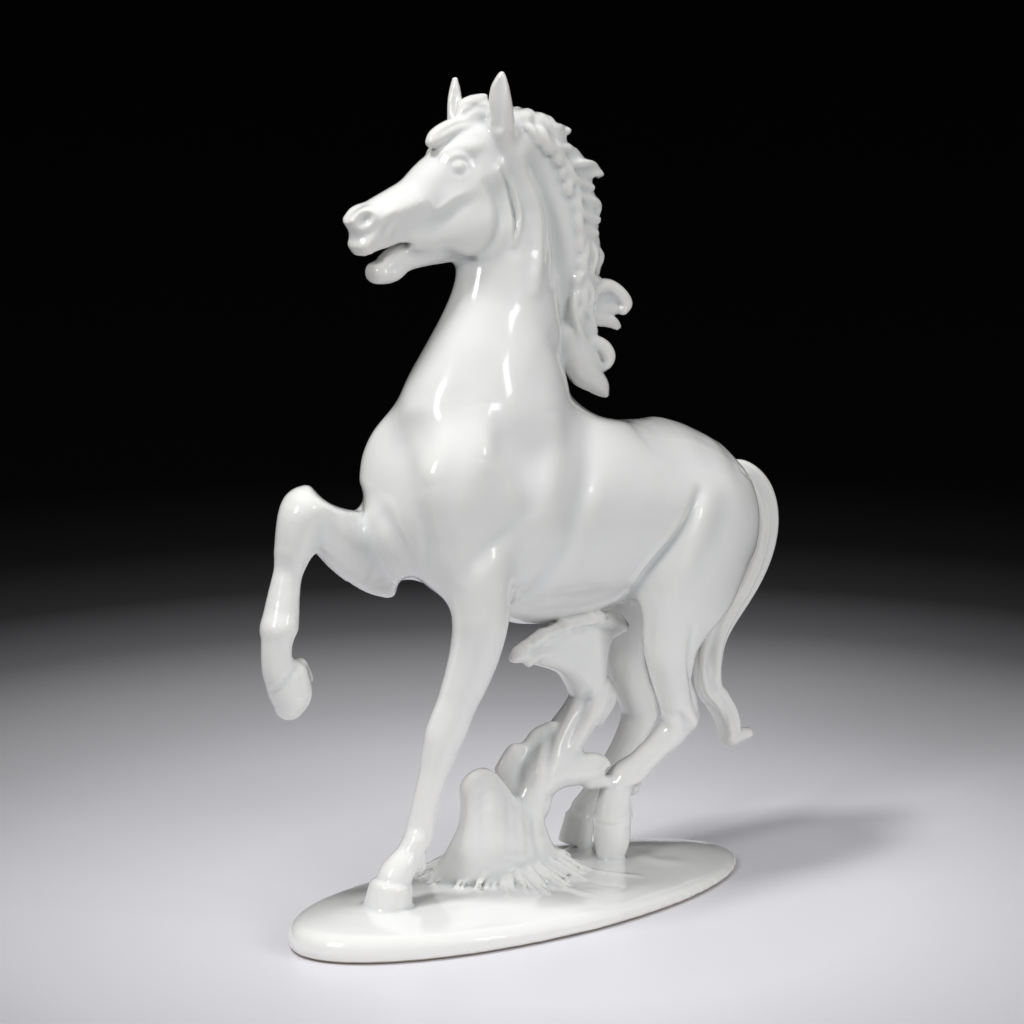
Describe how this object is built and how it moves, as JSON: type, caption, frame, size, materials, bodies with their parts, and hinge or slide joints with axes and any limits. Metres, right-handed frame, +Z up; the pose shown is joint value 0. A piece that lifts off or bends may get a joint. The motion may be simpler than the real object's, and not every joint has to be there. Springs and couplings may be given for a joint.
{
  "type": "horse figurine",
  "caption": "Glazed white porcelain horse stepping out over a tree stump on an oval base, with its right foreleg raised; a free-standing ornament.",
  "frame": {"origin": "the middle of the object's box, at the foot of the base", "axes": "the horse faces -X with its left side towards -Y; +Z is up"},
  "size_m": [0.2292, 0.085, 0.2973],
  "materials": {
    "glazed_porcelain": "clear gloss glaze over white porcelain"
  },
  "bodies": {
    "root": {"base": "glazed_porcelain", "trunk": "glazed_porcelain", "neck": "glazed_porcelain", "head": "glazed_porcelain", "lower_jaw": "glazed_porcelain", "left_ear": "glazed_porcelain", "right_ear": "glazed_porcelain", "forelock": "glazed_porcelain", "mane_lock_1": "glazed_porcelain", "mane_lock_2": "glazed_porcelain", "mane_lock_3": "glazed_porcelain", "mane_lock_4": "glazed_porcelain", "mane_lock_5": "glazed_porcelain", "mane_lock_6": "glazed_porcelain", "tail": "glazed_porcelain", "tail_curl": "glazed_porcelain", "left_foreleg": "glazed_porcelain", "right_foreleg": "glazed_porcelain", "left_hindleg": "glazed_porcelain", "right_hindleg": "glazed_porcelain", "stump": "glazed_porcelain", "stump_branch": "glazed_porcelain", "stump_stem": "glazed_porcelain", "stump_shelf": "glazed_porcelain"}
  },
  "joints": []
}
